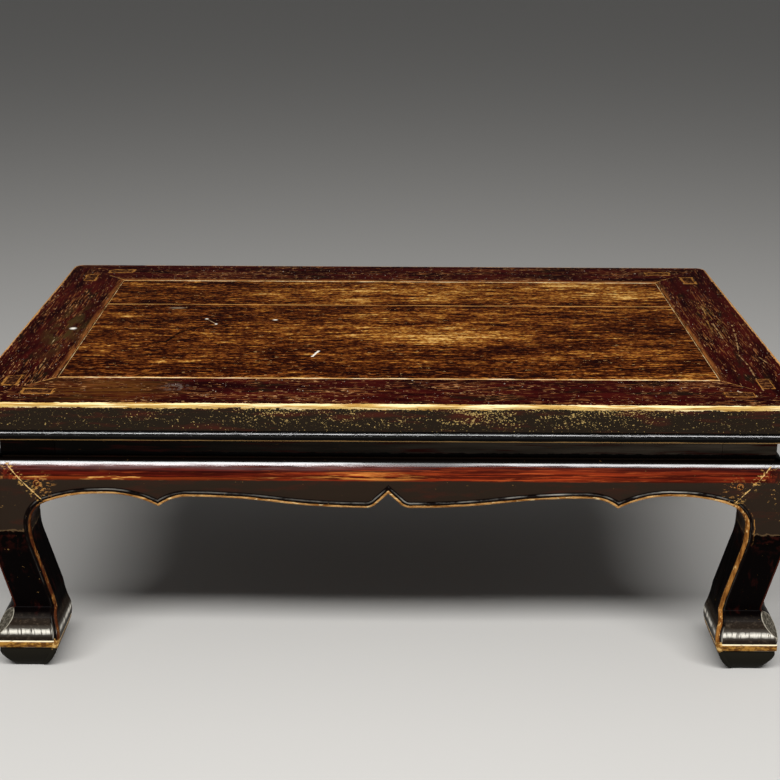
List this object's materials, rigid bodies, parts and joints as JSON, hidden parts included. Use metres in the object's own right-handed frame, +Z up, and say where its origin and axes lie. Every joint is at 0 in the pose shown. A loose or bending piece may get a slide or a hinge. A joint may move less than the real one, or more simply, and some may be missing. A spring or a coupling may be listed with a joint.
{
  "type": "kang table",
  "caption": "Low lacquered kang table with a framed panel top, recessed waist, scalloped aprons with a raised edge and inward-curving hoof feet, worn at the edges.",
  "frame": {"origin": "centre of the table's footprint, on the floor that its feet stand on", "axes": "+Z up, +X along the long side to the right, and the long front side faces -Y"},
  "size_m": [0.95, 0.62, 0.342],
  "materials": {
    "frame_lacquer": "gloss",
    "panel_lacquer": "gloss",
    "dark_lacquer": "gloss",
    "underside_wood": "matte",
    "peg_wood": "satin"
  },
  "bodies": {
    "root": {"top_rail_front": "frame_lacquer", "top_rail_back": "frame_lacquer", "top_end_rail_left": "frame_lacquer", "top_end_rail_right": "frame_lacquer", "panel_board_front": "panel_lacquer", "panel_board_back": "panel_lacquer", "panel_batten_left": "underside_wood", "panel_batten_centre": "underside_wood", "panel_batten_right": "underside_wood", "waist_board_front": "dark_lacquer", "apron_front": "dark_lacquer", "waist_board_back": "dark_lacquer", "apron_back": "dark_lacquer", "waist_board_left": "dark_lacquer", "apron_left": "dark_lacquer", "waist_board_right": "dark_lacquer", "apron_right": "dark_lacquer", "leg_front_left": "dark_lacquer", "leg_front_right": "dark_lacquer", "leg_back_left": "dark_lacquer", "leg_back_right": "dark_lacquer", "apron_pegs": "peg_wood"}
  },
  "joints": []
}
